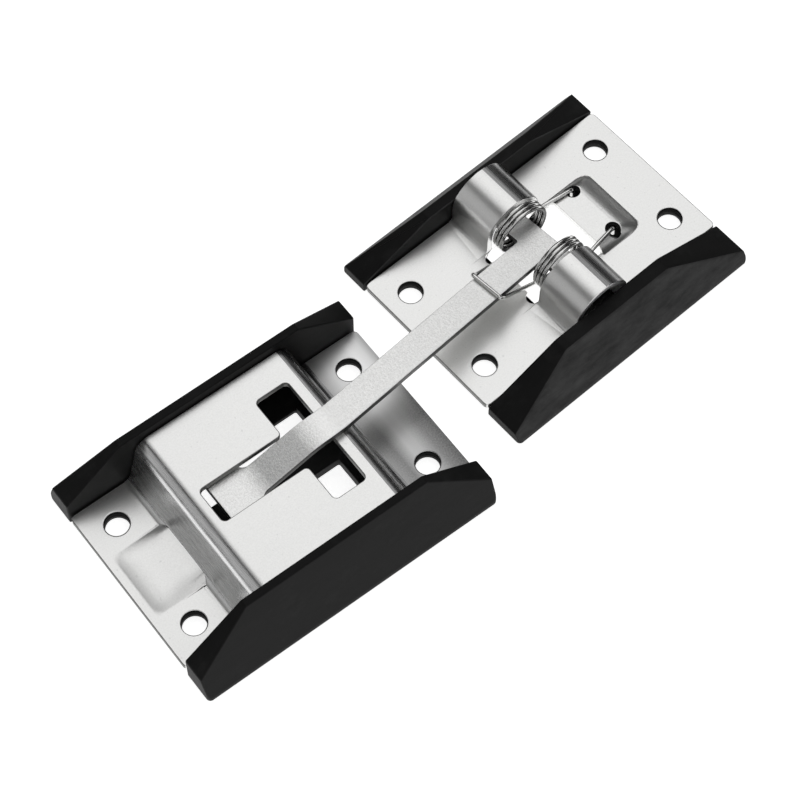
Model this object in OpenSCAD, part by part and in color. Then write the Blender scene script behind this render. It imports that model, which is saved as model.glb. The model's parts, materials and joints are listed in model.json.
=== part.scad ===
// Door holder for a camper: a sprung T-arm on one plate latches into a slotted plate on the other.
// All sizes are in millimetres. Both plates lie on their backs on z = 0.
// The origin is on the floor under the middle of the arm plate; the socket plate lies towards -X.

/* [Sheet metal and screws] */
// Thickness of both pressed plates
sheet_t = 1.5; // [1:0.1:2]
// Diameter of the screw holes
screw_hole_d = 5.2; // [4.2:0.1:6]
// Corner radius of both plates
plate_corner_r = 1.2; // [0.6:0.1:2]
// Width of the rounded rim pressed round each screw hole
hole_rim = 0.2; // [0.1:0.05:0.6]
// Depth of that rim
hole_rim_depth = 0.2; // [0.1:0.05:0.6]

/* [Arm plate] */
// Length of the arm plate
arm_plate_l = 66.8; // [62:0.2:76]
// Width of the arm plate, across the hinge
arm_plate_w = 38.8; // [37:0.2:44]
// Distance of the screw holes from the ends of the plate
arm_hole_end = 6.3; // [5.4:0.1:8]
// Distance of the screw holes from the long edges of the plate
arm_hole_edge = 7.7; // [6.4:0.1:9]

/* [Knuckles] */
// Outer radius of the arched knuckles
knuckle_r = 7.4; // [7.2:0.1:8]
// Height of the arch centre over the top of the plate
knuckle_rise = 4.2; // [3.8:0.1:5]
// Place of the hinge along the plate
knuckle_x = -1; // [-3:0.1:1]
// Clear gap between the two knuckles
knuckle_gap = 16.2; // [16:0.1:17]
// Diameter of the relief notches beside the knuckles' feet
relief_d = 3; // [2:0.1:4]
// Distance of those notches from the knuckles' inner ends
relief_inset = 0.2; // [0.1:0.05:0.4]
// Bend radius where a knuckle rises from the plate, at mid sheet
knuckle_foot_r = 2; // [1.5:0.1:2.5]

/* [Spring pad] */
// Place of the pad's open edge along the plate
pad_x = 10; // [9.6:0.1:11]
// Length of the pad's flat top
pad_top_l = 7; // [6.4:0.1:8]
// Half width of the pad's flat top
pad_top_half = 7; // [6.4:0.1:7.4]
// Height of the pad over the plate
pad_h = 2.5; // [2:0.1:3]
// Run of the pad's end slope
pad_end_run = 4.4; // [3:0.1:4.8]
// Run of the pad's side slopes
pad_side_run = 2; // [1.4:0.1:2.6]
// Diameter of the two spring holes
spring_hole_d = 3.4; // [2.8:0.1:3.8]
// Distance of the spring holes from the pad's open edge
spring_hole_x = 5; // [4.4:0.1:5.4]
// Spacing of the spring holes
spring_hole_y = 12.8; // [12:0.1:13.4]

/* [T-arm] */
// Thickness of the arm
arm_t = 1.8; // [1.5:0.1:2]
// Width of the arm
arm_w = 6.8; // [6.2:0.1:6.9]
// Length of the arm from the hinge to the tip of its head
arm_reach = 91.4; // [88:0.1:100]
// Length of its end that is turned in line with the slot
turned_l = 27.4; // [26:0.1:29]
// Radius of the arm's side bend before that end
turn_r = 30; // [20:1:40]
// Width of the cross-bar that turns in the knuckles
bar_w = 6.2; // [5.8:0.1:6.4]
// How far the cross-bar stays inside the outer ends of the knuckles
bar_inset = 1.4; // [1:0.1:2.4]
// How far the hinge axis sits above the arch centre
bar_lift = 1.2; // [0.8:0.1:1.2]
// Length of the head along the arm
head_l = 7.6; // [6:0.1:7.6]
// Span of the T-head
head_span = 24; // [20:0.2:26]
// Corner radius of the head
head_corner_r = 1.8; // [1:0.1:2.5]
// Fillet between the arm and its head
head_fillet = 2; // [1:0.1:2]
// Angle of the set-down behind the head
crank_angle = 17; // [16:1:19]
// Bend radius of the set-down, at mid sheet
crank_r = 20; // [12:0.5:20]
// Level stretch of the arm between the set-down and the tip
crank_level_l = 8.6; // [8.6:0.1:9.4]

/* [Torsion spring] */
// Diameter of the spring wire
wire_d = 0.95; // [0.8:0.05:1]
// Radius of the coils, to the middle of the wire
coil_r = 6.1; // [5.6:0.1:6.3]
// Distance of the spring's bridge from the hinge, along the arm
bridge_u = 16.8; // [15:0.2:20]
// Gap between neighbouring turns
coil_gap = 0.02; // [0.01:0.01:0.04]
// Gap between the wire and what it bears on
wire_clearance = 0.08; // [0.05:0.01:0.1]

/* [Socket plate] */
// Length of the socket plate
socket_l = 72.6; // [70:0.2:80]
// Width of the socket plate
socket_w = 41.2; // [40:0.2:46]
// Distance of the screw holes from the ends of the plate
socket_hole_end = 6.9; // [6:0.1:7.4]
// Distance of the screw holes from the long edges of the plate
socket_hole_edge = 6.95; // [6:0.05:8]
// Height of the platform over the flanges, top to top
platform_h = 12.4; // [11.6:0.1:13.4]
// Half length of the platform, to the corner of its bend at mid sheet
platform_half = 17.9; // [17.6:0.1:18.4]
// Run of the sloping side walls
wall_run = 3.1; // [2.4:0.1:3.4]
// Bend radius of the walls, at mid sheet
wall_r = 3; // [2.4:0.1:3.4]
// Length of the slot's stem
stem_l = 20.6; // [19:0.1:20.8]
// Width of the slot's stem
stem_w = 8.7; // [8.6:0.1:10]
// Length of the slot's wide mouth, along the plate
mouth_l = 7.9; // [7.4:0.1:8.2]
// Width of the slot's wide mouth, across the plate
mouth_w = 27.4; // [26.4:0.2:30]
// Strip of platform between the mouth and the corner of the bend
mouth_strip = 4; // [3.8:0.1:4.4]
// Corner radius of the slot
slot_r = 1.1; // [0.6:0.1:1.6]
// Distance of the embossed boss from the end of the plate
boss_end = 1.6; // [1.2:0.1:4]
// Half width of the boss at its flat top
boss_half = 6.3; // [5:0.1:7]
// Height of the boss
boss_h = 0.9; // [0.6:0.1:1.2]
// Run of the boss's sloping edges
boss_run = 2.1; // [1.6:0.1:2.6]

/* [Rubber bases] */
// Thickness of the rubber under the plates
foot_t = 1.5; // [1:0.1:2]
// How far the rubber stays back under the plates' ends
foot_inset = 1.2; // [0.6:0.1:2]
// Length of the rubber under each end of the arm plate
arm_rim_x = 15.4; // [14:0.1:17]
// Width of the rubber under each long edge of the arm plate
arm_rim_y = 6.4; // [5.4:0.1:9]
// How far the rubber reaches in under the platform from its bends
socket_rim_x = 2.5; // [2:0.1:3.6]
// Width of the rubber under each long edge of the platform
socket_rim_y = 7.2; // [5.6:0.1:9]
// Width of the rib along that opening
rib_w = 7; // [5:0.1:9]
// Distance of the rib's front face from the middle of the opening
rib_front = 1.8; // [1.4:0.1:2.4]
// Height of that rib
rib_h = 3; // [1.6:0.1:3.4]
// Width of the raised bars at the ends of that opening
bar_pad_w = 3; // [2:0.1:3.4]
// Height of those bars
bar_pad_h = 3; // [2:0.1:3.4]
// Gap between a buffer and the edge of its plate
buffer_gap = 0.2; // [0.1:0.05:0.4]
// Corner radius of the buffers' outer ends
buffer_corner_r = 1; // [0.6:0.1:2]
// Height of the upright lip at the foot of a buffer's slope
buffer_lip = 1.2; // [0.8:0.1:2]
// Height of the arm plate's buffers
arm_buffer_h = 10; // [8:0.1:12]
// Depth of the arm plate's front buffer
arm_buffer_d = 9.9; // [8:0.1:12]
// Depth of its rear buffer
arm_rear_buffer_d = 7.2; // [6:0.1:9]
// Width of the flat along the front buffer's ridge
arm_buffer_top = 3.4; // [2:0.1:4]
// Width of the flat along the rear buffer's ridge
arm_rear_buffer_top = 2.4; // [1.6:0.1:3]
// Run of the slopes at the ends of their ridges
arm_buffer_run = 18.7; // [16:0.1:22]
// Height of their ends
arm_buffer_end_h = 3; // [2.4:0.1:4]
// Height of the socket plate's buffers
socket_buffer_h = 17.9; // [16.6:0.1:20]
// Depth of the socket plate's buffers
socket_buffer_d = 7.6; // [6:0.1:9]
// Width of the flat along their ridge
socket_buffer_top = 1.8; // [1.2:0.1:2.4]
// Run of the slopes at the ends of their ridges
socket_buffer_run = 14.1; // [11:0.1:17]
// Height of their ends
socket_buffer_end_h = 7.5; // [6:0.1:9]

/* [Lie of the two halves] */
// Turn of the arm in the play of its knuckles
arm_yaw = 5.3; // [5:0.1:5.5]
// Turn of the socket plate against the arm plate
socket_yaw = -4.3; // [-4.4:0.1:-3.8]
// Distance of the head's tip from the blind end of the stem
tip_gap = 2.1; // [1.6:0.1:2.4]
// Side step of the head's tip from the middle of the slot
tip_side = 0.25; // [-0.4:0.05:0.5]
// Clearance of the arm over the platform
arm_clearance = 0.4; // [0.3:0.05:0.6]
// Clearance of the head under the platform
head_clearance = 0.4; // [0.3:0.05:0.6]

/* [Hidden] */

$fn = 64;
steel = [0.80, 0.80, 0.79];
arm_steel = [0.72, 0.72, 0.71];
wire_steel = [0.70, 0.70, 0.70];
rubber = [0.07, 0.07, 0.07];
// Overshoot of every cut past the faces it goes through
cut = 1;
// Overlap of shapes that are joined into one
join = 0.01;
// How far a bend's arcs run past the straight faces, so that they cross and don't just touch
ease = 0.004;

// Levels shared by both plates
plate_bottom = foot_t;
plate_top = foot_t + sheet_t;
plate_mid = foot_t + sheet_t / 2;

// Screw holes and openings
arm_hole_x = arm_plate_l - 2 * arm_hole_end;
arm_hole_y = arm_plate_w - 2 * arm_hole_edge;
socket_hole_x = socket_l - 2 * socket_hole_end;
socket_hole_y = socket_w - 2 * socket_hole_edge;
arm_open_x = arm_plate_l / 2 - arm_rim_x;
arm_open_y = arm_plate_w / 2 - arm_rim_y;

// Knuckles and hinge
knuckle_mid_r = knuckle_r - sheet_t / 2;
arch_z = plate_top + knuckle_rise;
hinge_z = arch_z + bar_lift;
bar_half_span = arm_plate_w / 2 - bar_inset;
window_x = knuckle_x - knuckle_r;

// Socket plate
platform_top = plate_top + platform_h;
platform_mid = plate_mid + platform_h;
wall_foot_x = platform_half + wall_run;
socket_open_x = platform_half - socket_rim_x;
socket_open_y = socket_w / 2 - socket_rim_y;
wall_angle = atan2(platform_h, wall_run);
wall_tangent = wall_r * tan(wall_angle / 2);
platform_flat_half = platform_half - wall_tangent;
mouth_x = platform_half - mouth_strip - mouth_l;
stem_end_x = mouth_x - stem_l;
boss_end_x = boss_end - socket_l / 2;

// Lie of the arm: it clears the platform's near edge, then sets down through the slot
// Its own frame starts at the hinge and runs in line with the slot; the long part lies askew in it
slot_skew = arm_yaw - socket_yaw;
turn_at_u = (arm_reach - turned_l) * [cos(slot_skew), sin(slot_skew)];
arm_tip = turn_at_u + [turned_l, 0];
tip_x = stem_end_x + tip_gap;
edge_u = arm_tip.x - platform_flat_half + tip_x;
arm_slope = atan2(platform_top + arm_clearance + arm_t / 2 - hinge_z, edge_u);
head_z = platform_top - sheet_t - head_clearance - arm_t / 2;
crank_end_u = arm_tip.x - crank_level_l;
crank_start_u = (head_z + crank_end_u * tan(crank_angle) - hinge_z) / (tan(arm_slope) + tan(crank_angle));
function arm_mid_z(u) = hinge_z + u * tan(arm_slope);

// A point of the model for a place along the arm's long part, across it and above its middle
function arm_point(u, v, up) = [knuckle_x - u * cos(arm_yaw) + v * sin(arm_yaw),
                                -u * sin(arm_yaw) - v * cos(arm_yaw),
                                arm_mid_z(u * cos(slot_skew) - v * sin(slot_skew)) + up];

// Place of the socket plate: its slot's blind end lies tip_gap beyond the head's tip
socket_u = arm_tip.x + tip_x;
socket_v = arm_tip.y + tip_side;
socket_x = knuckle_x - socket_u * cos(socket_yaw) + socket_v * sin(socket_yaw);
socket_y = -socket_u * sin(socket_yaw) - socket_v * cos(socket_yaw);

// Spring
wire_r = wire_d / 2;
coil_pitch = wire_d + coil_gap;
coil_turns = 3;
coil_leg_angle = -60;
coil_bridge_angle = -110;
coil_outer_y = knuckle_gap / 2 - wire_clearance - wire_r;
coil_inner_y = coil_outer_y - coil_pitch * (coil_turns + (coil_leg_angle - coil_bridge_angle) / 360);
coil_steps = 28;
wire_sides = 10;
wire_bend = 1.2;
leg_z = plate_top + pad_h + wire_clearance + wire_r;
leg_depth = sheet_t + wire_d;
bridge_up = arm_t / 2 / cos(arm_slope) + wire_clearance + wire_r;
bridge_v = arm_w / 2 + wire_clearance + wire_r;

// Strip of even thickness along a path of straight runs with rounded corners
function heading(a, b) = (b - a) / norm(b - a);
function left_of(d) = [-d.y, d.x];
function turn_at(a, b, c) =
    let (p = heading(a, b), q = heading(b, c))
    atan2(p.x * q.y - p.y * q.x, p.x * q.x + p.y * q.y);

// Corner of the strip's edge at one point of the path, on the left for side 1 and the right for side -1
function edge_corner(path, i, side, t) =
    let (
        last = len(path) - 1,
        p = i > 0 ? heading(path[i - 1], path[i]) : heading(path[0], path[1]),
        q = i < last ? heading(path[i], path[i + 1]) : p,
        m = left_of(p) + left_of(q)
    )
    path[i] + m * (side * t / (m * m));

// Points where an arc of radius r leaves and meets the straight edges at that corner
function arc_ends(path, i, side, r, t) =
    let (
        corner = edge_corner(path, i, side, t),
        trim = r * tan(abs(turn_at(path[i - 1], path[i], path[i + 1])) / 2)
    )
    [corner - heading(path[i - 1], path[i]) * trim, corner + heading(path[i], path[i + 1]) * trim];

// The strip's edge: straight across the inside of each bend, sharp on its outside
function edge_points(path, radii, i, side, t) =
    let (bent = i > 0 && i < len(path) - 1)
    bent && sign(turn_at(path[i - 1], path[i], path[i + 1])) == side
        ? arc_ends(path, i, side, radii[i - 1] - t / 2, t)
        : [edge_corner(path, i, side, t)];

function reversed(list) = [for (k = [len(list) - 1:-1:0]) list[k]];

module strip(path, radii, t) {
    last = len(path) - 1;
    right = [for (i = [0:last]) each edge_points(path, radii, i, -1, t)];
    left = [for (i = [0:last]) each edge_points(path, radii, i, 1, t)];
    difference() {
        polygon(concat(right, reversed(left)));
        for (i = [1:last - 1])
            bend_cuts(path, i, radii[i - 1], t);
    }
}

// What is cut away to round one bend: a disc inside it and the sharp corner outside it
module bend_cuts(path, i, r, t) {
    way = sign(turn_at(path[i - 1], path[i], path[i + 1]));
    ends = arc_ends(path, i, -way, r + t / 2, t);
    out_p = -way * left_of(heading(path[i - 1], path[i]));
    out_q = -way * left_of(heading(path[i], path[i + 1]));
    corner = edge_corner(path, i, -way, t);
    centre = ends[0] - out_p * (r + t / 2);
    translate(centre)
        circle(r - t / 2 + ease);
    difference() {
        polygon([ends[0], ends[0] + out_p * t / 2, 2 * corner - path[i], ends[1] + out_q * t / 2, ends[1]]);
        translate(centre)
            circle(r + t / 2 + ease);
    }
}

// Extrudes an outline drawn in x and z across the width from y0 to y1
module across(y0, y1) {
    translate([0, y1, 0])
        rotate([90, 0, 0])
            linear_extrude(y1 - y0)
                children();
}

// Extrudes an outline drawn in y and z along the length from x0 to x1
module along(x0, x1) {
    translate([x0, 0, 0])
        rotate([90, 0, 90])
            linear_extrude(x1 - x0)
                children();
}

module rounded_box(x0, x1, y0, y1, r) {
    translate([x0 + r, y0])
        square([x1 - x0 - 2 * r, y1 - y0]);
    translate([x0, y0 + r])
        square([x1 - x0, y1 - y0 - 2 * r]);
    for (x = [x0 + r, x1 - r], y = [y0 + r, y1 - r])
        translate([x, y])
            circle(r);
}

// Fillet that fills an inner corner at the origin, in the quarter towards sx, sy
module inner_fillet(sx, sy, r) {
    difference() {
        translate([sx > 0 ? -join : -r, sy > 0 ? -join : -r])
            square(r + join);
        translate([sx * r, sy * r])
            circle(r);
    }
}

// Raised panel with sloping edges, from a side outline and an end outline
module panel(side, end, x0, x1, half) {
    intersection() {
        across(-half, half)
            polygon(side);
        along(x0, x1)
            polygon(end);
    }
}

module screw_holes(dx, dy) {
    for (x = [-dx / 2, dx / 2], y = [-dy / 2, dy / 2])
        translate([x, y, 0]) {
            translate([0, 0, -cut])
                cylinder(h = plate_top + 2 * cut, d = screw_hole_d);
            translate([0, 0, plate_top - hole_rim_depth])
                cylinder(h = hole_rim_depth + join, d1 = screw_hole_d, d2 = screw_hole_d + 2 * hole_rim);
        }
}

// Cuts the sharp corners off a plate
module corner_cuts(length, width) {
    r = plate_corner_r;
    linear_extrude(plate_top + cut)
        for (sx = [-1, 1], sy = [-1, 1])
            translate([sx * length / 2, sy * width / 2])
                difference() {
                    translate([sx > 0 ? -r : -cut, sy > 0 ? -r : -cut])
                        square(r + cut);
                    translate([-sx * r, -sy * r])
                        circle(r + ease);
                }
}

// Arm plate
module knuckle_outline() {
    half = arm_plate_l / 2;
    left = knuckle_x - knuckle_mid_r;
    right = knuckle_x + knuckle_mid_r;
    crest = arch_z + knuckle_mid_r;
    strip([[-half, plate_mid], [left, plate_mid], [left, crest], [right, crest],
           [right, plate_mid], [half, plate_mid]],
          [knuckle_foot_r, knuckle_mid_r, knuckle_mid_r, knuckle_foot_r], sheet_t);
}

module spring_pad() {
    end_x = pad_x + pad_top_l;
    foot_half = pad_top_half + pad_side_run;
    panel([[pad_x, plate_mid], [end_x + pad_end_run, plate_mid], [end_x + pad_end_run, plate_top],
           [end_x, plate_top + pad_h], [pad_x, plate_top + pad_h]],
          [[-foot_half, plate_mid], [foot_half, plate_mid], [foot_half, plate_top],
           [pad_top_half, plate_top + pad_h], [-pad_top_half, plate_top + pad_h], [-foot_half, plate_top]],
          pad_x - cut, end_x + pad_end_run + cut, foot_half + cut);
}

module arm_plate() {
    half = arm_plate_l / 2;
    color(steel)
        difference() {
            union() {
                across(knuckle_gap / 2, arm_plate_w / 2)
                    knuckle_outline();
                across(-arm_plate_w / 2, -knuckle_gap / 2)
                    knuckle_outline();
                difference() {
                    translate([-half, -knuckle_gap / 2, plate_bottom])
                        cube([arm_plate_l, knuckle_gap, sheet_t]);
                    translate([window_x, -knuckle_gap / 2 - cut, plate_bottom - cut])
                        cube([pad_x - window_x, knuckle_gap + 2 * cut, sheet_t + 2 * cut]);
                }
                spring_pad();
            }
            translate([0, 0, -sheet_t])
                spring_pad();
            screw_holes(arm_hole_x, arm_hole_y);
            corner_cuts(arm_plate_l, arm_plate_w);
            for (side = [-1, 1])
                translate([window_x, side * ((knuckle_gap - relief_d) / 2 - relief_inset), 0])
                    cylinder(h = plate_top + cut, d = relief_d);
            for (y = [-spring_hole_y / 2, spring_hole_y / 2])
                translate([pad_x + spring_hole_x, y, 0])
                    cylinder(h = plate_top + pad_h + cut, d = spring_hole_d);
        }
}

// Rubber base: a buffer along each long edge, joined by a sheet under the plate
module buffer(length, plate_w, h, d, top, run, end_h) {
    inner = plate_w / 2 + buffer_gap;
    outer = inner + d;
    half = length / 2;
    ridge = half - run;
    intersection() {
        along(-half, half)
            polygon([[inner, 0], [outer, 0], [outer, buffer_lip], [inner + top, h], [inner, h]]);
        across(inner - cut, outer + cut)
            polygon([[-half, 0], [half, 0], [half, end_h], [ridge, h], [-ridge, h], [-half, end_h]]);
        linear_extrude(h + cut)
            union() {
                rounded_box(-half, half, inner, outer, buffer_corner_r);
                translate([-half, inner])
                    square([length, d / 2]);
            }
    }
}

module base_sheet(length, plate_w, open_x, open_y, hole_x, hole_y) {
    half = length / 2 - foot_inset;
    inner = plate_w / 2 + buffer_gap + join;
    linear_extrude(foot_t)
        difference() {
            translate([-half, -inner])
                square([2 * half, 2 * inner]);
            translate([-open_x, -open_y])
                square([2 * open_x, 2 * open_y]);
            for (x = [-hole_x / 2, hole_x / 2], y = [-hole_y / 2, hole_y / 2])
                translate([x, y])
                    circle(d = screw_hole_d);
        }
}

module arm_plate_rubber() {
    color(rubber) {
        buffer(arm_plate_l, arm_plate_w, arm_buffer_h, arm_rear_buffer_d, arm_rear_buffer_top,
               arm_buffer_run, arm_buffer_end_h);
        mirror([0, 1, 0])
            buffer(arm_plate_l, arm_plate_w, arm_buffer_h, arm_buffer_d, arm_buffer_top,
                   arm_buffer_run, arm_buffer_end_h);
        base_sheet(arm_plate_l, arm_plate_w, arm_open_x, arm_open_y, arm_hole_x, arm_hole_y);
    }
}

// T-arm, drawn with its head along +X of its own frame
module on_arm() {
    translate([knuckle_x, 0, 0])
        rotate([0, 0, 180 + socket_yaw])
            children();
}

module arm_plan() {
    bar_half = bar_w / 2;
    rotate(slot_skew) {
        rounded_box(-bar_half, bar_half, -bar_half_span, bar_half_span, wire_r);
        for (side = [-1, 1])
            translate([bar_half, side * arm_w / 2])
                inner_fillet(1, side, wire_r);
    }
    strip([[0, 0], turn_at_u, arm_tip - [head_l / 2, 0]], [turn_r], arm_w);
    translate(arm_tip - [head_l, 0]) {
        rounded_box(0, head_l, -head_span / 2, head_span / 2, head_corner_r);
        for (side = [-1, 1])
            translate([0, side * arm_w / 2])
                inner_fillet(-1, side, head_fillet);
    }
}

module arm_side() {
    start = -bar_half_span;
    strip([[start, arm_mid_z(start)], [crank_start_u, arm_mid_z(crank_start_u)], [crank_end_u, head_z],
           [arm_tip.x + cut, head_z]],
          [crank_r, crank_r], arm_t);
}

module t_arm() {
    color(arm_steel)
        on_arm()
            intersection() {
                across(-arm_plate_w, arm_plate_w)
                    arm_side();
                linear_extrude(platform_top + platform_h)
                    arm_plan();
            }
}

// Torsion spring: a round wire swept along its own path
function corner_arc(a, b, c, r) =
    let (p = b - heading(a, b) * r, q = b + heading(b, c) * r)
    [for (k = [0:4]) let (s = k / 4) (1 - s) * (1 - s) * p + 2 * s * (1 - s) * b + s * s * q];

function coil_point(side, angle, y) =
    [knuckle_x + coil_r * cos(angle), side * y, hinge_z + coil_r * sin(angle)];

// Half of the wire, from its end in the pad to the bridge over the arm
function half_spring(side) =
    let (
        hole = [pad_x + spring_hole_x, side * spring_hole_y / 2],
        tip = [hole.x, hole.y, leg_z - leg_depth],
        bend = [hole.x, hole.y, leg_z],
        leave = coil_point(side, coil_leg_angle, coil_outer_y),
        rise = (leg_z - leave.z) / tan(90 + coil_leg_angle),
        knee = [leave.x + rise, side * coil_outer_y, leg_z],
        sweep = 360 * coil_turns + coil_leg_angle - coil_bridge_angle,
        steps = round(coil_steps * sweep / 360),
        coil = [for (k = [0:steps])
            coil_point(side, coil_leg_angle - sweep * k / steps,
                       coil_outer_y + (coil_inner_y - coil_outer_y) * k / steps)],
        toe = arm_point(bridge_u - wire_bend, -side * bridge_v, 0),
        shoulder = arm_point(bridge_u, -side * bridge_v, bridge_up),
        middle = arm_point(bridge_u, 0, bridge_up)
    )
    concat([tip], corner_arc(tip, bend, knee, wire_bend), corner_arc(bend, knee, leave, wire_bend),
           coil, corner_arc(coil[steps], toe, shoulder, wire_bend / 2),
           corner_arc(toe, shoulder, middle, wire_bend / 2));

// Rings of points round a path, each carried on from the last without twist
function path_heading(path, k) =
    heading(path[max(k - 1, 0)], path[min(k + 1, len(path) - 1)]);

function carried(path, k, n) =
    let (d = path_heading(path, k), m = n - d * (n * d))
    m / norm(m);

function sides_of(path) =
    let (first = carried(path, 0, [0, 1, 0.2]))
    [for (k = 0, n = first; k < len(path); k = k + 1, n = k < len(path) ? carried(path, k, n) : n) n];

module wire(path, r, count) {
    normals = sides_of(path);
    rings = len(path);
    points = [for (k = [0:rings - 1], j = [0:count - 1])
        let (n = normals[k], b = cross(path_heading(path, k), n), a = 360 * j / count)
        path[k] + r * (cos(a) * n + sin(a) * b)];
    walls = [for (k = [0:rings - 2], j = [0:count - 1])
        let (j2 = (j + 1) % count)
        [k * count + j, (k + 1) * count + j, (k + 1) * count + j2, k * count + j2]];
    caps = [[for (j = [0:count - 1]) j], [for (j = [count - 1:-1:0]) (rings - 1) * count + j]];
    polyhedron(points, concat(walls, caps));
}

module torsion_spring() {
    color(wire_steel)
        wire(concat(half_spring(1), reversed(half_spring(-1))), wire_r, wire_sides);
}

// Socket plate, drawn about its own middle
module on_socket() {
    translate([socket_x, socket_y, 0])
        rotate([0, 0, socket_yaw])
            children();
}

module hat_outline() {
    half = socket_l / 2;
    strip([[-half, plate_mid], [-wall_foot_x, plate_mid], [-platform_half, platform_mid],
           [platform_half, platform_mid], [wall_foot_x, plate_mid], [half, plate_mid]],
          [wall_r, wall_r, wall_r, wall_r], sheet_t);
}

module slot_plan() {
    rounded_box(mouth_x, mouth_x + mouth_l, -mouth_w / 2, mouth_w / 2, slot_r);
    rounded_box(stem_end_x, mouth_x + mouth_l / 2, -stem_w / 2, stem_w / 2, slot_r);
    for (side = [-1, 1])
        translate([mouth_x, side * stem_w / 2])
            inner_fillet(-1, side, slot_r);
}

module boss() {
    foot_half = boss_half + boss_run;
    wall_x = -wall_foot_x;
    panel([[boss_end_x, plate_top], [boss_end_x, plate_mid], [wall_x, plate_mid],
           [wall_x, plate_top + boss_h], [boss_end_x + boss_run, plate_top + boss_h]],
          [[-foot_half, plate_mid], [foot_half, plate_mid], [foot_half, plate_top],
           [boss_half, plate_top + boss_h], [-boss_half, plate_top + boss_h], [-foot_half, plate_top]],
          boss_end_x - cut, wall_x + cut, foot_half + cut);
}

module socket_plate() {
    color(steel)
        on_socket()
            difference() {
                union() {
                    across(-socket_w / 2, socket_w / 2)
                        hat_outline();
                    boss();
                }
                translate([0, 0, -sheet_t])
                    boss();
                translate([0, 0, platform_top - sheet_t - cut])
                    linear_extrude(sheet_t + 2 * cut)
                        slot_plan();
                screw_holes(socket_hole_x, socket_hole_y);
                corner_cuts(socket_l, socket_w);
            }
}

module socket_rubber() {
    color(rubber)
        on_socket() {
            for (side = [0, 1])
                mirror([0, side, 0])
                    buffer(socket_l, socket_w, socket_buffer_h, socket_buffer_d, socket_buffer_top,
                           socket_buffer_run, socket_buffer_end_h);
            base_sheet(socket_l, socket_w, socket_open_x, socket_open_y, socket_hole_x, socket_hole_y);
            translate([-socket_open_x - join, -rib_front, 0])
                cube([2 * (socket_open_x + join), rib_w, rib_h]);
            for (side = [-1, 1])
                translate([side * (socket_open_x + bar_pad_w / 2) - bar_pad_w / 2, -socket_open_y, 0])
                    cube([bar_pad_w, 2 * socket_open_y, bar_pad_h]);
        }
}

arm_plate();
arm_plate_rubber();
t_arm();
torsion_spring();
socket_plate();
socket_rubber();
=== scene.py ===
# %% [markdown]
# # A camper door catch, dressed in Blender
# The catch has two pressed-steel plates on black rubber bases. A sprung arm is hinged on one
# plate, and its T-shaped head is latched in the slot of the other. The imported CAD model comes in
# first as a fixed frame, so that every piece made here already knows its place and the body it
# moves with.

# %% Load the frame
import json
import math

import bpy
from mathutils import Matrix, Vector


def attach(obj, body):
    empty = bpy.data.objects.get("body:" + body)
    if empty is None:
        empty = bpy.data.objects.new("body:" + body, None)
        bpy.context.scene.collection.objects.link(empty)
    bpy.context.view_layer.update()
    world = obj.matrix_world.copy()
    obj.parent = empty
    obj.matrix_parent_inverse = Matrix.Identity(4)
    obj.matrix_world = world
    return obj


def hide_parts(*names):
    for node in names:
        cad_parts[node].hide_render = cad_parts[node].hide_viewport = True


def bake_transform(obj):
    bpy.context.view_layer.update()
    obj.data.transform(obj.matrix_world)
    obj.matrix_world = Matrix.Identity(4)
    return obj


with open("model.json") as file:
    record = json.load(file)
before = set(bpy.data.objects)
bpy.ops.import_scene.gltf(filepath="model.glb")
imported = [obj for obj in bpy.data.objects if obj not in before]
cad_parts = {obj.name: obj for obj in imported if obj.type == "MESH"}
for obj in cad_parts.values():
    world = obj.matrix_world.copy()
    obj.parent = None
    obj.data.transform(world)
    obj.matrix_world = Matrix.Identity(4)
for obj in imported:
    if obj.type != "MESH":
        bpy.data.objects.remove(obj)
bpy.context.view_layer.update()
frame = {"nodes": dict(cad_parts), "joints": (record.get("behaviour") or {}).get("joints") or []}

MM = 0.001
joints = {joint["name"]: joint for joint in frame["joints"]}

# %% [markdown]
# ## The camera
# The photograph looks down steeply from the front left with a long lens. Its place was worked out
# from the corners and screw holes of both plates, so the lens, the distance and the height are set
# as numbers. A picture 800 pixels wide with a focal length of 2600 pixels is a 117 mm lens.

# %% Camera
CAMERA_AT = Vector((-211.16, -192.86, 484.23)) * MM
CAMERA_LOOKS_AT = Vector((-45.43, -5.58, 1.5)) * MM
FOCAL_PIXELS = 2600
PICTURE_PIXELS = 800
SENSOR_WIDTH = 36

lens = bpy.data.cameras.new("camera")
lens.sensor_width = SENSOR_WIDTH
lens.lens = FOCAL_PIXELS / PICTURE_PIXELS * SENSOR_WIDTH
lens.clip_start = 10 * MM
camera = bpy.data.objects.new("camera", lens)
bpy.context.collection.objects.link(camera)
camera.location = CAMERA_AT
camera.rotation_euler = (CAMERA_LOOKS_AT - CAMERA_AT).to_track_quat("-Z", "Y").to_euler()
bpy.context.scene.camera = camera
print("lens", round(lens.lens, 1), "mm")

# %% [markdown]
# ## Shader sums
# The finishes below are worked out by nodes. Wiring each node by hand hides the idea, so a socket
# is wrapped in a small class with the usual operators: `1 - mask` then adds the Math node by
# itself.

# %% A socket that can be used in sums
class Value:
    def __init__(self, tree, socket):
        self.tree = tree
        self.socket = socket

    def sum(self, operation, first, second):
        node = self.tree.nodes.new("ShaderNodeMath")
        node.operation = operation
        for socket, value in zip(node.inputs, (first, second)):
            plug(self.tree, socket, value)
        return Value(self.tree, node.outputs[0])

    def __add__(self, other):
        return self.sum("ADD", self, other)

    def __radd__(self, other):
        return self.sum("ADD", other, self)

    def __sub__(self, other):
        return self.sum("SUBTRACT", self, other)

    def __rsub__(self, other):
        return self.sum("SUBTRACT", other, self)

    def __mul__(self, other):
        return self.sum("MULTIPLY", self, other)

    def __rmul__(self, other):
        return self.sum("MULTIPLY", other, self)


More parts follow.
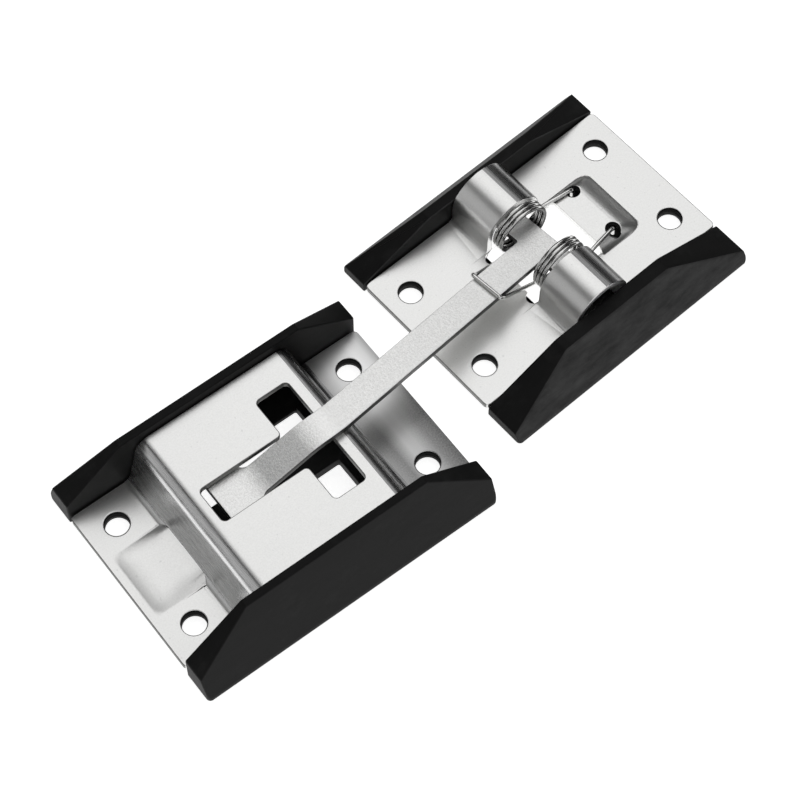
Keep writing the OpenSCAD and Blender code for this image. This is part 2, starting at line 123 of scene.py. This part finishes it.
def plug(tree, socket, value):
    if isinstance(value, Value):
        tree.links.new(value.socket, socket)
    else:
        socket.default_value = value


print("sums ready")

# %% [markdown]
# A finish is a material with one method that adds any node, and a few short names for the nodes
# that come up again and again: a place on the piece, noise, a ramp, a mix of two colours and a
# bump.

# %% A finish that adds its own nodes
class Finish:
    def __init__(self, name):
        self.material = bpy.data.materials.new(name)
        self.material.use_nodes = True
        self.tree = self.material.node_tree
        self.shader = self.tree.nodes["Principled BSDF"]

    def node(self, kind, settings=None, sockets=None, out=0):
        node = self.tree.nodes.new(kind)
        for key, value in (settings or {}).items():
            if key == "stops":
                ramp = node.color_ramp.elements
                while len(ramp) < len(value):
                    ramp.new(0.5)
                for stop, (place, level) in zip(ramp, value):
                    stop.position = place
                    stop.color = grey(level)
            else:
                setattr(node, key, value)
        for key, value in (sockets or {}).items():
            plug(self.tree, node.inputs[key], value)
        return Value(self.tree, node.outputs[out])

    def vector(self, operation, first, second=None, out=0):
        sockets = {0: first} if second is None else {0: first, 1: second}
        return self.node("ShaderNodeVectorMath", {"operation": operation}, sockets, out)

    def own_place(self):
        """Object coordinates in metres."""
        return self.node("ShaderNodeTexCoord", out="Object")

    def place(self, stretch=(1, 1, 1), turn=0):
        """Object coordinates in millimetres, stretched and turned about Z."""
        scale = tuple(s / MM for s in stretch)
        return self.node("ShaderNodeMapping", sockets={
            "Vector": self.own_place(), "Scale": scale, "Rotation": (0, 0, turn)})

    def far_from(self, centre, scale=(1, 1, 1)):
        """The distance from a point, with each direction scaled first."""
        off = self.vector("SUBTRACT", self.own_place(), centre)
        return self.vector("LENGTH", self.vector("MULTIPLY", off, scale), out=1)

    def noise(self, place, scale, detail=2.0, roughness=0.5):
        return self.node("ShaderNodeTexNoise", sockets={
            "Vector": place, "Scale": scale, "Detail": detail, "Roughness": roughness})

    def ramp(self, value, *stops):
        return self.node("ShaderNodeValToRGB", {"stops": stops}, {"Fac": value})

    def mix(self, share, first, second):
        return self.node("ShaderNodeMix", {"data_type": "RGBA"},
                         {0: share, 6: first, 7: second}, out=2)

    def bump(self, height, strength, distance, under=None):
        sockets = {"Height": height, "Strength": strength, "Distance": distance}
        if under:
            sockets["Normal"] = under
        return self.node("ShaderNodeBump", sockets=sockets)

    def give(self, **sockets):
        for key, value in sockets.items():
            plug(self.tree, self.shader.inputs[key.replace("_", " ")], value)
        print(self.material.name, len(self.tree.nodes), "nodes")


def grey(level):
    return (level, level, level, 1)


def steel(level):
    """A grey that is a touch warm, as plated steel is."""
    return (level, level, level - 0.01, 1)


print("finishes ready")

# %% [markdown]
# ## Bright plating on the plates
# The plates are pressed from sheet and plated to a bright satin. The finish has a very fine grain,
# faint streaks where the sheet was drawn over the press tool, soft cloudy patches and a few pits.
# A photograph could be wrapped round the sheet, but noise in the piece's own millimetres has no
# seams.

# %% Finish: plate plating
plating = Finish("plate_plating")
grain = plating.noise(plating.place(), 3.0, 4.0, 0.65)
streaks = plating.noise(plating.place((1.0, 0.05, 1.0)), 2.2, 3.0)
clouds = plating.noise(plating.place(), 0.11, 3.0)
pits = plating.ramp(plating.noise(plating.place(), 1.3, 1.0), (0.70, 0.0), (0.76, 1.0))
plate_tone = plating.mix(clouds, steel(0.82), steel(0.90))
plate_tone = plating.mix(plating.ramp(grain, (0.35, 0.0), (0.65, 0.26)), plate_tone, steel(0.62))
plate_tone = plating.mix(pits * 0.25, plate_tone, grey(0.45))
fine = plating.bump(grain, 0.16, 0.02 * MM)
fine = plating.bump(streaks, 0.10, 0.03 * MM, fine)
plating.give(Base_Color=plate_tone, Metallic=1.0,
             Roughness=0.25 + 0.08 * clouds + 0.08 * grain, Normal=fine)

# %% [markdown]
# Where the sheet was drawn round the press tool, it is burnished, with streaks along the bend.
# Noise that is stretched along the hinge gives the streaks. The dark and light versions are
# painted light and shade. The flanks that face right, towards +x, get the dark one as painted
# shade. The hat's wall on the side away from the arm plate gets the lighter one as painted light.

# %% Finish: drawn flanks, with painted light and shade
def drawn_finish(name, dark, light, turn=0):
    drawn = Finish(name)
    drag = drawn.noise(drawn.place((1.0, 0.012, 1.0), turn), 2.4, 4.0, 0.7)
    share = drawn.ramp(drag, (0.28, 0.0), (0.72, 1.0))
    drawn.give(Base_Color=drawn.mix(share, grey(dark), grey(light)), Metallic=1.0,
               Roughness=0.20 + 0.14 * drag, Normal=drawn.bump(drag, 0.15, 0.03 * MM))
    return drawn


drawn_streaks_painted_shade = drawn_finish("drawn_streaks_painted_shade", 0.18, 0.44)
drawn_streaks_painted_light = drawn_finish("drawn_streaks_painted_light", 0.55, 0.92, turn=-0.06)

# %% [markdown]
# ## Grainy plating on the arm
# The arm is thicker and was tumbled before plating, so its grain is coarser and catches more
# light. Its underside is a lighter matt, which keeps its mirror image in the plates from going
# black.

# %% Finish: arm plating and underside
arm_plating = Finish("arm_plating")
arm_grain = arm_plating.noise(arm_plating.place(), 2.3, 4.0, 0.7)
arm_clouds = arm_plating.noise(arm_plating.place(), 0.16, 2.0)
arm_share = arm_plating.ramp(arm_grain, (0.30, 0.0), (0.70, 1.0))
arm_plating.give(Base_Color=arm_plating.mix(arm_share, steel(0.76), steel(1.0)), Metallic=1.0,
                 Roughness=0.26 + 0.12 * arm_grain + 0.05 * arm_clouds,
                 Normal=arm_plating.bump(arm_grain, 0.8, 0.09 * MM))

arm_underside = Finish("arm_underside")
under_grain = arm_underside.noise(arm_underside.place(), 2.0, 3.0)
arm_underside.give(Base_Color=arm_underside.mix(under_grain, steel(0.86), steel(0.96)),
                   Metallic=0.4, Roughness=0.7 + 0.1 * under_grain,
                   Normal=arm_underside.bump(under_grain, 0.3, 0.05 * MM))

# %% [markdown]
# ## Sheared edges
# Plating hides the sheet's faces, but the edges left by the shear and the punch stay dull. Their
# dark tone is partly painted shade, for the shade at the plates' feet and along the arm's lower
# edge. The walls of the holes are painted darker still, as painted shade, because little light
# gets down there.

# %% Finish: sheared edges and hole walls, partly painted shade
def edge_finish(name, dark, light, roughness):
    edge = Finish(name)
    marks = edge.noise(edge.place((1.0, 1.0, 0.15)), 3.0, 3.0)
    edge.give(Base_Color=edge.mix(marks, dark, light), Metallic=1.0,
              Roughness=roughness + 0.2 * marks, Normal=edge.bump(marks, 0.3, 0.05 * MM))
    return edge


sheared = edge_finish("sheared_edge_painted_shade", grey(0.10), steel(0.34), 0.38)
arm_edge_painted_shade = edge_finish("arm_edge_painted_shade", grey(0.03), grey(0.15), 0.34)

hole_wall_painted_shade = Finish("hole_wall_painted_shade")
hole_rings = hole_wall_painted_shade.noise(hole_wall_painted_shade.place((0.2, 0.2, 1.0)), 2.2, 3.0)
hole_wall_painted_shade.give(Base_Color=hole_wall_painted_shade.mix(hole_rings, grey(0.003), grey(0.02)), Roughness=0.8,
               Specular_IOR_Level=0.04, Normal=hole_wall_painted_shade.bump(hole_rings, 0.4, 0.1 * MM))

# %% [markdown]
# ## Drawn spring wire
# The wire is bright drawn steel with fine marks. Between two turns of a coil lies a groove, too
# fine to show by itself, so painted shade darkens the tone at the radius where the turns touch.
# That radius is measured from the hinge, in centimetres so that it fits a ramp's 0 to 1.

# %% Finish: spring wire
PER_CM = 100
hinge_at = Vector(joints["arm_pivot"]["pos_m"])
wire_steel = Finish("spring_wire")
wire_marks = wire_steel.noise(wire_steel.place(), 2.5, 3.0)
coil_radius = wire_steel.far_from(hinge_at, (PER_CM, 0, PER_CM))
groove_painted_shade = wire_steel.ramp(coil_radius, (0.555, 0.0), (0.575, 1.0), (0.62, 1.0), (0.648, 0.0))
wire_tone = wire_steel.mix(wire_marks, steel(0.62), steel(0.84))
# painted shade in the grooves between the turns
wire_tone = wire_steel.mix(groove_painted_shade * 0.92, wire_tone, grey(0.02))
wire_steel.give(Base_Color=wire_tone, Metallic=1.0, Roughness=0.10 + 0.12 * wire_marks,
                Normal=wire_steel.bump(wire_marks, 0.08, 0.03 * MM))

# %% [markdown]
# ## Black rubber
# The bases are moulded in black rubber. The mould leaves a fine matt texture, flow marks and a few
# dusty smears, which are lighter and rougher than the rest.

# %% Finish: rubber
black_rubber = Finish("black_rubber")
mould_grain = black_rubber.noise(black_rubber.place(), 4.5, 4.0, 0.6)
flow = black_rubber.noise(black_rubber.place((0.06, 0.35, 0.35)), 1.0, 4.0)
smears = black_rubber.noise(black_rubber.place((0.6, 1.0, 1.0)), 0.22, 5.0, 0.65)
smears = black_rubber.ramp(smears, (0.52, 0.0), (0.78, 1.0))
rubber_tone = black_rubber.mix(flow, grey(0.004), grey(0.009))
rubber_tone = black_rubber.mix(smears * 0.4, rubber_tone, grey(0.035))
rubber_fine = black_rubber.bump(mould_grain, 0.25, 0.04 * MM)
rubber_fine = black_rubber.bump(flow, 0.2, 0.15 * MM, rubber_fine)
black_rubber.give(Base_Color=rubber_tone, Roughness=0.46 + 0.14 * mould_grain + 0.14 * smears,
                  Normal=rubber_fine, Specular_IOR_Level=0.12)

# %% [markdown]
# The outer slope of the arm plate's front buffer is given a lighter grey rubber, with fine streaks
# and specks.

# %% Finish: lighter rubber for the front slope
front_slope_rubber = Finish("front_slope_rubber")
streak_noise = front_slope_rubber.noise(front_slope_rubber.place((0.25, 0.8, 0.8), 0.5), 0.45, 6.0, 0.7)
specks = front_slope_rubber.noise(front_slope_rubber.place(), 2.4, 2.0)
specks = front_slope_rubber.ramp(specks, (0.66, 0.0), (0.74, 1.0))
grey_share = front_slope_rubber.ramp(streak_noise, (0.32, 0.0), (0.72, 1.0))
slope_tone = front_slope_rubber.mix(grey_share, grey(0.024), grey(0.066))
slope_tone = front_slope_rubber.mix(specks * 0.5, slope_tone, grey(0.07))
front_slope_rubber.give(Base_Color=slope_tone, Roughness=0.62 + 0.2 * streak_noise, Specular_IOR_Level=0.15,
                  Normal=front_slope_rubber.bump(streak_noise, 0.3, 0.12 * MM))

# %% [markdown]
# ## From a CAD solid to a finished piece
# A CAD mesh is a bag of loose triangles with knife-sharp edges. A copy of it is merged, its flat
# triangles are dissolved into whole faces, and then every sharp edge is rounded by a Bevel
# modifier. The rounded edges catch the light, as real pressed steel and moulded rubber do.

# %% Copy a node and round its edges
def only(piece):
    bpy.ops.object.select_all(action="DESELECT")
    piece.select_set(True)
    bpy.context.view_layer.objects.active = piece


def dressed_copy(node, name, finish):
    source = frame["nodes"][node]
    piece = bpy.data.objects.new(name, source.data.copy())
    bpy.context.collection.objects.link(piece)
    piece.data.materials.clear()
    piece.data.materials.append(finish.material)
    only(piece)
    bpy.ops.object.mode_set(mode="EDIT")
    bpy.ops.mesh.select_all(action="SELECT")
    bpy.ops.mesh.customdata_custom_splitnormals_clear()
    bpy.ops.mesh.remove_doubles(threshold=0.0005 * MM)
    bpy.ops.mesh.dissolve_limited(angle_limit=math.radians(0.6))
    bpy.ops.object.mode_set(mode="OBJECT")
    return piece


def round_edges(piece, width, segments, sharper_than):
    """Round the sharp edges, then shade so that large flat faces keep their own direction."""
    only(piece)
    bevel = piece.modifiers.new("rounded_edges", "BEVEL")
    bevel.width = width
    bevel.segments = segments
    bevel.limit_method = "ANGLE"
    bevel.angle_limit = math.radians(sharper_than)
    bevel.use_clamp_overlap = False
    bevel.loop_slide = False  # sliding makes spikes where a hole's rim meets a long edge
    bevel.miter_outer = "MITER_ARC"
    bpy.ops.object.modifier_apply(modifier=bevel.name)
    bpy.ops.object.shade_smooth_by_angle(angle=math.radians(40))
    even = piece.modifiers.new("even_faces", "WEIGHTED_NORMAL")
    even.keep_sharp = True
    bpy.ops.object.modifier_apply(modifier=even.name)


def paint(piece, finish, wanted):
    """Give another finish to the faces that are wanted by their middle and direction."""
    piece.data.materials.append(finish.material)
    index = len(piece.data.materials) - 1
    faces = [f for f in piece.data.polygons if wanted(f.center / MM, f.normal)]
    for face in faces:
        face.material_index = index
    print(piece.name, len(faces), "faces in", finish.material.name)


def finish_piece(piece, node, body):
    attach(piece, body)
    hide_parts(node)
    print(piece.name, len(piece.data.polygons), "faces, rides on", body)


print("tools for the copies ready")

# %% [markdown]
# ## Places on the plates
# The faces that get another finish are picked by their place. The socket plate lies a little
# askew. The joint that lets the head slide in its slot points along the plate, so it also tells
# where the plate's own middle and length are.

# %% Places in millimetres
SOCKET_AT = Vector(joints["slot_slide"]["pos_m"]) / MM
SOCKET_ALONG = -Vector(joints["slot_slide"]["axis"])
SOCKET_ACROSS = Vector((-SOCKET_ALONG.y, SOCKET_ALONG.x, 0))
SHEET = 1.5
PLATE_TOP = 3.0
HAT_TOP = SOCKET_AT.z
HAT_WALL = 15.0
HAT_FOOT = 22.0
SLOT_HALF = (14.9, 14.2)
ARM_PLATE = (66.8, 38.8)
SOCKET_PLATE = (72.6, 41.2)
HOLE_R = 2.6
SPRING_HOLE_R = 1.7
SPRING_HOLES = [(15.0, -6.4), (15.0, 6.4)]
ARM_HOLES = [(x, y) for x in (-27.1, 27.1) for y in (-11.7, 11.7)]
SOCKET_HOLES = [(x, y) for x in (-29.4, 29.4) for y in (-13.65, 13.65)]


def on_socket(at):
    """A place in the socket plate's own frame."""
    off = at - SOCKET_AT
    return Vector((off.dot(SOCKET_ALONG), off.dot(SOCKET_ACROSS), at.z))


def in_hole(at, holes, radius=HOLE_R):
    return any(math.hypot(at.x - x, at.y - y) < radius + 0.1 for x, y in holes)


def at_rim(at, length, width):
    """True beside the sheared outer edge of a plate."""
    to_edge = min(abs(length / 2 - abs(at.x)), abs(width / 2 - abs(at.y)))
    return to_edge < 0.25 and at.z < PLATE_TOP + 0.05


def in_slot(at):
    return at.z > HAT_TOP - SHEET - 0.1 and abs(at.x) < SLOT_HALF[0] and abs(at.y) < SLOT_HALF[1]


def turned_down(normal):
    return abs(normal.z) < 0.93


print("socket plate at", [round(c, 2) for c in SOCKET_AT])

# %% [markdown]
# The flange beside the arm plate is painted darker at its foot and towards its free edge, more so
# at the front. This is a painted dark reflection of the dark room. Its tone follows two ramps
# along the plate, one for the front and one for the rear, that fade into each other.

# %% Finish: flange with painted dark reflection
flange = Finish("flange_painted_reflection")


def flange_share(along, start, length):
    """0 at a start and 1 at a length past it, in millimetres along a direction of the plate."""
    reach = flange.vector("DOT_PRODUCT", flange.own_place(), along, out=1)
    return (reach * (1 / MM) - (SOCKET_AT.dot(along) + start)) * (1 / length)


lengthwise = flange_share(SOCKET_ALONG, 20, 20)
crosswise = flange_share(SOCKET_ACROSS, -4, 13)
front_tone = flange.ramp(lengthwise, (0.15, 0.30), (0.28, 0.20), (0.42, 0.52), (0.52, 0.46),
                         (0.66, 0.20), (0.78, 0.10))
rear_tone = flange.ramp(lengthwise, (0.15, 0.35), (0.30, 0.62), (0.45, 0.72), (0.62, 0.80),
                        (0.72, 0.66), (0.80, 0.36))
flange_grain = flange.noise(flange.place(), 3.0, 4.0, 0.65)
flange_tone = flange.mix(flange.ramp(crosswise, (0.0, 0.0), (1.0, 1.0)), front_tone, rear_tone)
grain_share = flange.ramp(flange_grain, (0.35, 0.0), (0.65, 0.2))
flange_tone = flange.mix(grain_share, flange_tone, steel(0.62))
flange.give(Base_Color=flange_tone, Metallic=1.0, Roughness=0.28 + 0.1 * flange_grain,
            Normal=flange.bump(flange_grain, 0.16, 0.02 * MM))

# %% [markdown]
# ## Pressed domes
# The pad for the spring and the boss are pressed up out of the sheet, so they are soft pillows and
# not the straight slopes of the CAD model. A wide bevel runs into the holes beside it, so the
# faces are cut into a net by bisect, and each point of the net is set to the height of a dome.

# %% Press a dome
def cuts(middle, along, places):
    return [(middle + along * place, along) for place in places]


def both_sides(places):
    return [side * place for place in places for side in (-1, 1)]


def press(piece, region, net, height):
    """Cut the faces of a region into a net and set its points to a height, where there is one."""
    only(piece)
    for at, across in net:
        for face in piece.data.polygons:
            face.select = region(face.center / MM) and face.normal.z > 0.3
        for edge in piece.data.edges:
            edge.select = False
        for point in piece.data.vertices:
            point.select = False
        bpy.ops.object.mode_set(mode="EDIT")
        bpy.ops.mesh.select_mode(type="FACE")
        bpy.ops.mesh.bisect(plane_co=at * MM, plane_no=across)
        bpy.ops.object.mode_set(mode="OBJECT")
    moved = 0
    for point in piece.data.vertices:
        level = height(point.co / MM)
        if level is not None:
            point.co.z = level * MM
            moved += 1
    print(piece.name, "pressed", moved, "points")


def sloped(top, end, side):
    """The height of a CAD slope, from the shares of the way up it from its end and its side."""
    return PLATE_TOP + (top - PLATE_TOP) * min(1, end, side)


def domed(top, end, side):
    """The height of a dome, from the shares of the way into it from its end and its side."""
    end, side = max(0, 1 - end), max(0, 1 - side)
    return PLATE_TOP + (top - PLATE_TOP) * (1 - min(1, (end ** 4 + side ** 4) ** 0.5))


AT_FOOT = 0.01
print("press ready")

# %% [markdown]
# ## Arm plate
# The plate carries the arm in two arched knuckles, with the spring's pad beside them. It is a copy
# of the CAD plate, because its bends and holes have to fit the arm and the screws. The pad is
# domed first, then the edges are rounded, and the second finishes are painted last.

# %% Arm plate
PAD_TOP = 5.5
PAD_START = 9.9
PAD_FOOT = 21.4
PAD_HALF = 9.0
PAD_SLOPE = (4.4, 2.0)
PAD_DOME = (6.4, 3.4)
KNUCKLE_FROM = 8.0
KNUCKLE_END = 9.5


def pad_height(at):
    end, side = PAD_FOOT - at.x, PAD_HALF - abs(at.y)
    straight = sloped(PAD_TOP, end / PAD_SLOPE[0], side / PAD_SLOPE[1])
    if min(end, side) < AT_FOOT or at.x < PAD_START or abs(at.z - straight) > 0.03:
        return None
    return domed(PAD_TOP, end / PAD_DOME[0], side / PAD_DOME[1])


def on_pad(at):
    return PAD_START < at.x < PAD_FOOT and abs(at.y) < PAD_HALF and at.z > PLATE_TOP + 0.02


def in_arm_plate_hole(at):
    in_spring_hole = in_hole(at, SPRING_HOLES, SPRING_HOLE_R) and at.z < PAD_TOP - 0.1
    return in_hole(at, ARM_HOLES) or in_spring_hole


def knuckle_flank(at, normal):
    on_knuckle = abs(at.y) > KNUCKLE_FROM and at.x < KNUCKLE_END and at.z > PLATE_TOP + 0.02
    return on_knuckle and normal.x > 0.16


arm_plate = dressed_copy("arm_plate", "arm_plate_sheet", plating)
pad_net = cuts(Vector(), Vector((1, 0, 0)), (15.8, 16.6, 17.4, 18.2, 19.0, 19.7, 20.3, 20.9))
pad_net += cuts(Vector(), Vector((0, 1, 0)), both_sides((5.8, 6.4, 7.0, 7.5, 8.0, 8.4, 8.7)))
press(arm_plate, on_pad, pad_net, pad_height)
round_edges(arm_plate, 0.2 * MM, 2, 25)
# the sheared rim is darkened, partly as painted shade
paint(arm_plate, sheared, lambda at, normal: turned_down(normal) and at_rim(at, *ARM_PLATE))
# painted shade: the hole walls are painted near black
paint(arm_plate, hole_wall_painted_shade, lambda at, normal: turned_down(normal) and in_arm_plate_hole(at))
# painted shade: the knuckles' right-facing flanks get the dark drawn finish
paint(arm_plate, drawn_streaks_painted_shade, knuckle_flank)
finish_piece(arm_plate, "arm_plate", "arm_base")

# %% [markdown]
# ## Socket plate
# The second plate is bent like a hat, and the head of the arm slides in the T-shaped slot of its
# platform. It is dressed in the same way. Its boss is lower towards the plate's end.

# %% Socket plate
BOSS_TOP = 3.9
BOSS_START = -22.6
BOSS_FOOT = -34.7
BOSS_HALF = 8.4
BOSS_SLOPE = 2.1
BOSS_DOME = 5.0
BOSS_LOW = 0.65
BOSS_LOW_TO = -29.0


def boss_height(at):
    here = on_socket(at)
    end, side = here.x - BOSS_FOOT, BOSS_HALF - abs(here.y)
    straight = sloped(BOSS_TOP, end / BOSS_SLOPE, side / BOSS_SLOPE)
    if min(end, side) < AT_FOOT or here.x > BOSS_START or abs(at.z - straight) > 0.02:
        return None
    rise = max(0, min(1, (here.x - BOSS_LOW_TO) / (BOSS_START - BOSS_LOW_TO)))
    share = BOSS_LOW + (1 - BOSS_LOW) * rise
    top = PLATE_TOP + share * (BOSS_TOP - PLATE_TOP)
    return domed(top, end / BOSS_DOME, side / BOSS_DOME)


def on_boss(at):
    return on_socket(at).x < -HAT_FOOT and PLATE_TOP + 0.01 < at.z < BOSS_TOP + 0.05


def sheared_on_socket(at, normal):
    here = on_socket(at)
    return turned_down(normal) and (at_rim(here, *SOCKET_PLATE) or in_slot(here))


def flange_top(at, normal):
    at_top = PLATE_TOP - 0.1 < at.z < PLATE_TOP + 0.3
    return normal.z > 0.9 and at_top and on_socket(at).x > HAT_FOOT - 0.5


def right_wall(at, normal):
    on_wall = PLATE_TOP + 0.02 < at.z < HAT_TOP - 0.1 and on_socket(at).x > HAT_WALL
    return normal.x > 0.12 and on_wall


def left_wall(at, normal):
    on_wall = PLATE_TOP + 0.3 < at.z < HAT_TOP - 0.2 and -HAT_FOOT < on_socket(at).x < -HAT_WALL
    return normal.x < -0.25 and on_wall


socket_plate = dressed_copy("socket_plate", "socket_plate_sheet", plating)
net_steps = (0.5, 1.1, 1.7, 2.4, 3.2, 4.0, 5.0)
lengthwise_steps = net_steps + (6.5, 8.0, 9.5, 11.0)
boss_net = cuts(SOCKET_AT, SOCKET_ALONG, [BOSS_FOOT + step for step in lengthwise_steps])
boss_net += cuts(SOCKET_AT, SOCKET_ACROSS, both_sides([BOSS_HALF - step for step in net_steps]))
press(socket_plate, on_boss, boss_net, boss_height)
round_edges(socket_plate, 0.2 * MM, 2, 25)
# the sheared rim and slot walls are darkened, partly as painted shade
paint(socket_plate, sheared, sheared_on_socket)
# painted reflection: the flange gets its dark gradient
paint(socket_plate, flange, flange_top)
# painted shade: the hat's right wall gets the dark drawn finish
paint(socket_plate, drawn_streaks_painted_shade, right_wall)
# painted light: the hat's left wall gets the light drawn finish
paint(socket_plate, drawn_streaks_painted_light, left_wall)
# painted shade: the hole walls are painted near black
paint(socket_plate, hole_wall_painted_shade,
      lambda at, normal: turned_down(normal) and in_hole(on_socket(at), SOCKET_HOLES))
finish_piece(socket_plate, "socket_plate", "socket")

# %% [markdown]
# ## T-arm
# The arm is one flat stamping: a cross-bar, a long bar and the T-shaped head. Its faces are
# plated, its cut edges are painted dark, partly as painted shade, and its underside is matt, so
# each finish goes by the face's direction.

# %% T-arm
UPRIGHT = 0.6
arm = dressed_copy("t_arm", "t_arm_bar", arm_plating)
round_edges(arm, 0.25 * MM, 2, 25)
# the arm's cut edges are painted dark, partly as painted shade
paint(arm, arm_edge_painted_shade, lambda at, normal: abs(normal.z) < UPRIGHT)
paint(arm, arm_underside, lambda at, normal: normal.z < -UPRIGHT)
finish_piece(arm, "t_arm", "arm")

# %% [markdown]
# ## Rubber bases
# Each plate lies in one rubber moulding with a buffer along both long edges. Rubber edges are
# rounder than steel ones, so the bevel is wider, and it also takes the buffers' shallow ridges.

# %% Rubber bases
BETWEEN_PLATES = -40.0


def front_buffer_slope(at, normal):
    return normal.y < -0.35 and normal.z > 0.2 and at.x > BETWEEN_PLATES


for node, body in (("arm_plate_rubber", "arm_base"), ("socket_rubber", "socket")):
    base = dressed_copy(node, node + "_moulding", black_rubber)
    round_edges(base, 0.35 * MM, 3, 12)
    paint(base, front_slope_rubber, front_buffer_slope)
    finish_piece(base, node, body)

# %% [markdown]
# ## Torsion spring
# One wire is wound round the cross-bar on both sides of the arm. Its legs are hooked into the pad
# and its bridge lies across the arm. The wire is round already, so it is only shaded smooth. It
# belongs to the plate at one end and to the arm at the other.

# %% Torsion spring
spring = dressed_copy("torsion_spring", "torsion_spring_wire", wire_steel)
bpy.ops.object.shade_smooth_by_angle(angle=math.radians(50))
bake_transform(spring)
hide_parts("torsion_spring")
print(spring.name, len(spring.data.polygons), "faces")

# %% [markdown]
# ## Floor
# The photograph is a plain studio shot on white. The floor glows a little, so that it stays white
# under the piece and through its screw holes. Far out it fades to dark, because the bends of the
# sheet mirror it. Under the spring's pad the glow is left out as a painted shadow, so that the
# spring's holes look deep.

# %% Floor
FLOOR_SIZE = 6
FLOOR_BELOW = 0.2 * MM
UNDER_PAD = Vector((19.5, 2.0, 0)) * MM - Vector((CAMERA_LOOKS_AT.x, CAMERA_LOOKS_AT.y, 0))

bpy.ops.object.select_all(action="DESELECT")
bpy.ops.mesh.primitive_plane_add(
    size=FLOOR_SIZE, location=(CAMERA_LOOKS_AT.x, CAMERA_LOOKS_AT.y, -FLOOR_BELOW))
floor = bpy.context.object
floor.name = "floor"
floor_white = Finish("floor_white")
near = floor_white.ramp(floor_white.far_from((0, 0, 0)), (0.17, 1.0), (0.30, 0.06))
pad_shadow_reach = floor_white.far_from(UNDER_PAD, (70, 33, 0))
# painted shadow: the floor's glow is taken away under the spring's pad
near = near * floor_white.ramp(pad_shadow_reach, (0.34, 0.0), (0.46, 1.0))
floor_white.give(Base_Color=floor_white.mix(near, grey(0.02), grey(0.8)), Roughness=1.0,
                 Specular_IOR_Level=0.0, Emission_Color=near, Emission_Strength=0.85)
floor.data.materials.append(floor_white.material)
print("floor", FLOOR_SIZE, "m wide")

# %% [markdown]
# ## Lights
# Bright metal shows what it mirrors. The largest soft light hangs where the flat plates mirror the
# camera's view, so the flats are white. Four weaker ones fill the left, the top, the front and the
# front left corner. The room is nearly black, which gives the bends their dark bands.

# %% Lights
def soft_light(name, at, aim, size, radiance):
    light = bpy.data.lights.new(name, "AREA")
    light.shape = "RECTANGLE"
    light.size, light.size_y = size
    light.energy = radiance * math.pi * size[0] * size[1]
    lamp = bpy.data.objects.new(name, light)
    bpy.context.collection.objects.link(lamp)
    lamp.location = at
    lamp.rotation_euler = (aim - at).to_track_quat("-Z", "Y").to_euler()


SOFT_LIGHTS = {
    "glance_softbox": ((0.325, 0.395, 0.888), (1.14, 0.95), 1.02),
    "left_fill": ((-1.1, 0.35, 0.62), (1.2, 1.0), 0.42),
    "top_softbox": ((-0.05, -0.42, 0.95), (1.0, 0.8), 0.75),
    "front_fill": ((0.0, -0.95, 0.3), (1.4, 0.55), 0.7),
    "corner_fill": ((-0.75, -0.75, 0.55), (0.9, 0.7), 0.4),
}
for name, (offset, size, radiance) in SOFT_LIGHTS.items():
    soft_light(name, CAMERA_LOOKS_AT + Vector(offset), CAMERA_LOOKS_AT, size, radiance)

world = bpy.data.worlds.new("studio")
world.use_nodes = True
world.node_tree.nodes["Background"].inputs["Color"].default_value = grey(0.05)
bpy.context.scene.world = world
bpy.context.scene.view_settings.view_transform = "Standard"
print(len(SOFT_LIGHTS), "soft lights")
